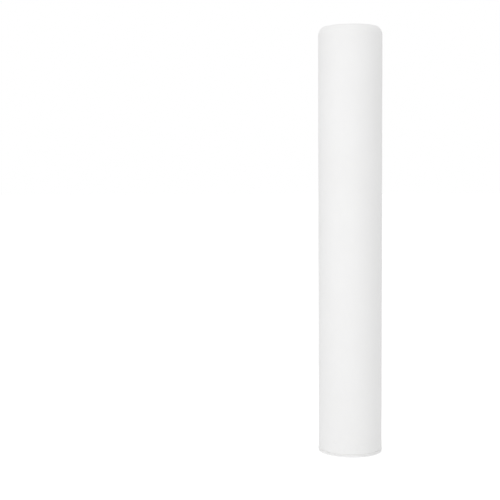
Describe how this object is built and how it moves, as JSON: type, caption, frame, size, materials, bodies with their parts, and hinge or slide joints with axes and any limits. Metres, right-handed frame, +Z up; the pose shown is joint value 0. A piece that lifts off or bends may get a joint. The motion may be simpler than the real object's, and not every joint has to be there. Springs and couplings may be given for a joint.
{
  "type": "basketball pole pad",
  "caption": "Tall round foam sleeve in smooth white vinyl that wraps a basketball pole, slit down the back with a swinging side and a hook and loop closure flap.",
  "frame": {"origin": "on the pole's axis, level with the base of the pad", "axes": "+Z up along the pole, -Y towards the front, and +Y towards the slit and its closure flap"},
  "size_m": [0.1846, 0.1889, 1.22],
  "materials": {
    "white_vinyl": "satin",
    "vinyl_backing": "matte",
    "foam": "matte",
    "hook_loop_tape": "matte"
  },
  "bodies": {
    "sleeve": {"outer_cover": "white_vinyl", "inner_lining": "vinyl_backing", "bottom_panel": "white_vinyl", "bottom_piping": "white_vinyl", "foam_core_left": "foam", "foam_core_front": "foam", "slit_facing_left": "white_vinyl", "loop_tape": "hook_loop_tape"},
    "swinging_third": {"outer_cover_swing": "white_vinyl", "inner_lining_swing": "vinyl_backing", "bottom_panel_swing": "white_vinyl", "bottom_piping_swing": "white_vinyl", "foam_core_right": "foam", "slit_facing_right": "white_vinyl", "flap_seam_strip": "white_vinyl"},
    "flap": {"flap_web": "white_vinyl", "closure_flap": "white_vinyl", "hook_tape": "hook_loop_tape", "flap_binding": "white_vinyl"}
  },
  "joints": [
    {"name": "wrap_open", "type": "hinge", "parent": "sleeve", "child": "swinging_third", "pos_m": [0.07881, -0.0455, 0], "axis": [0, 0, -1], "range_deg": [0, 75], "stiffness_Nm_per_rad": 0.5},
    {"name": "flap_peel", "type": "hinge", "parent": "swinging_third", "child": "flap", "pos_m": [0.01814, 0.0905, 0], "axis": [0, 0, -1], "range_deg": [0, 150]}
  ]
}
